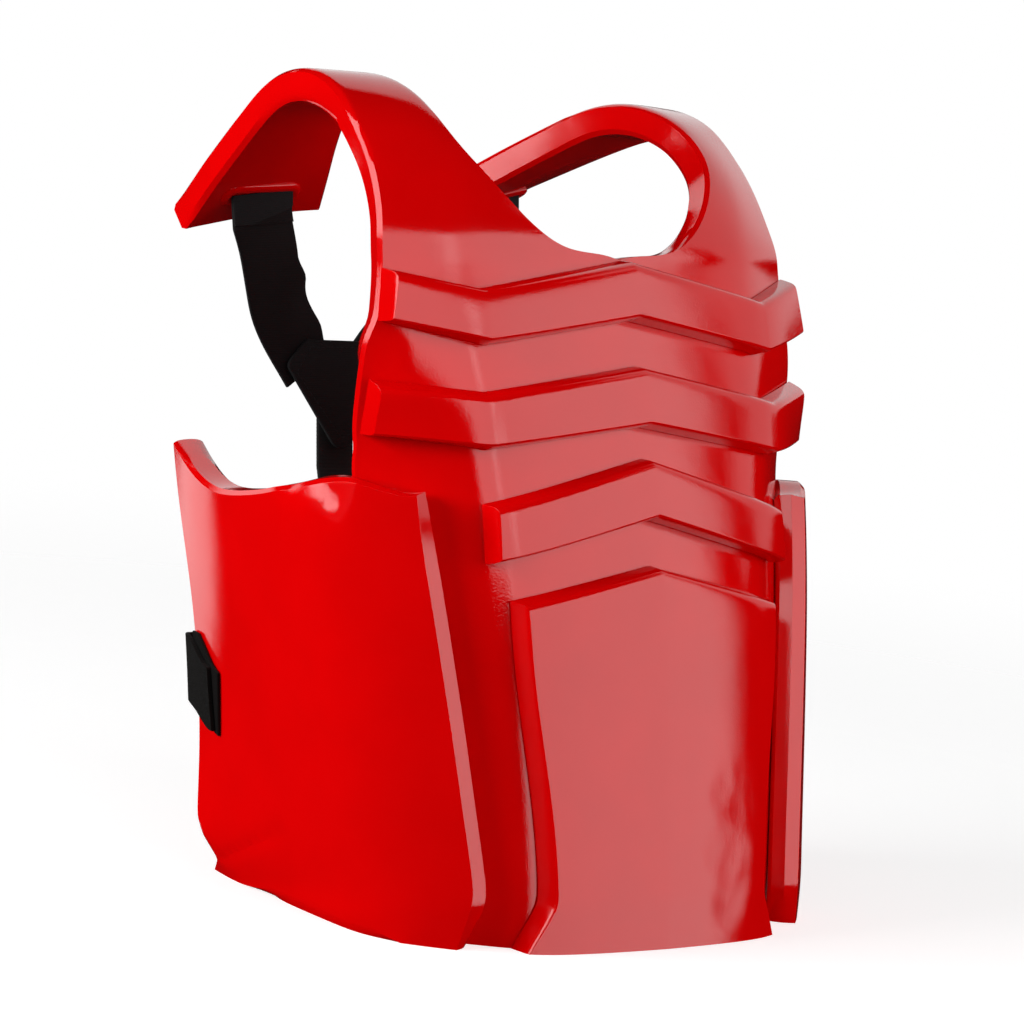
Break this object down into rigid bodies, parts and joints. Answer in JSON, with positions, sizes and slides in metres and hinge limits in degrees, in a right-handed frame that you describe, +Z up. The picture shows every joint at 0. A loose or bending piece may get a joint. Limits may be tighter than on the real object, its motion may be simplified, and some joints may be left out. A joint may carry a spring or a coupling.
{
  "type": "chest guard",
  "caption": "Red foam chest guard for striking sports with raised chevron bands, side panels that wrap the ribs, padded shoulder wings and a black elastic harness at the back.",
  "frame": {"origin": "on the surface it stands on, under the middle of its box", "axes": "+Z up, -Y out of the chest, +X to the wearer's left; the guard stands on its hem, so it leans back by about 10 degrees from how it is worn"},
  "size_m": [0.3634, 0.3752, 0.4531],
  "materials": {
    "red_foam": "glossy red dipped coat over closed-cell foam",
    "black_elastic": "matt black woven elastic and hook-and-loop",
    "black_webbing": "ribbed black webbing"
  },
  "bodies": {
    "root": {"front_shell": "red_foam", "chest_band_upper": "red_foam", "chest_band_lower": "red_foam", "belly_band": "red_foam", "belly_panel": "red_foam", "side_panel_left": "red_foam", "side_panel_right": "red_foam", "strap_patch_left": "black_elastic", "strap_patch_right": "black_elastic", "shoulder_strap_left": "black_elastic", "shoulder_strap_right": "black_elastic", "yoke_patch": "black_elastic", "back_strap": "black_webbing", "waist_strap": "black_elastic"}
  },
  "joints": []
}
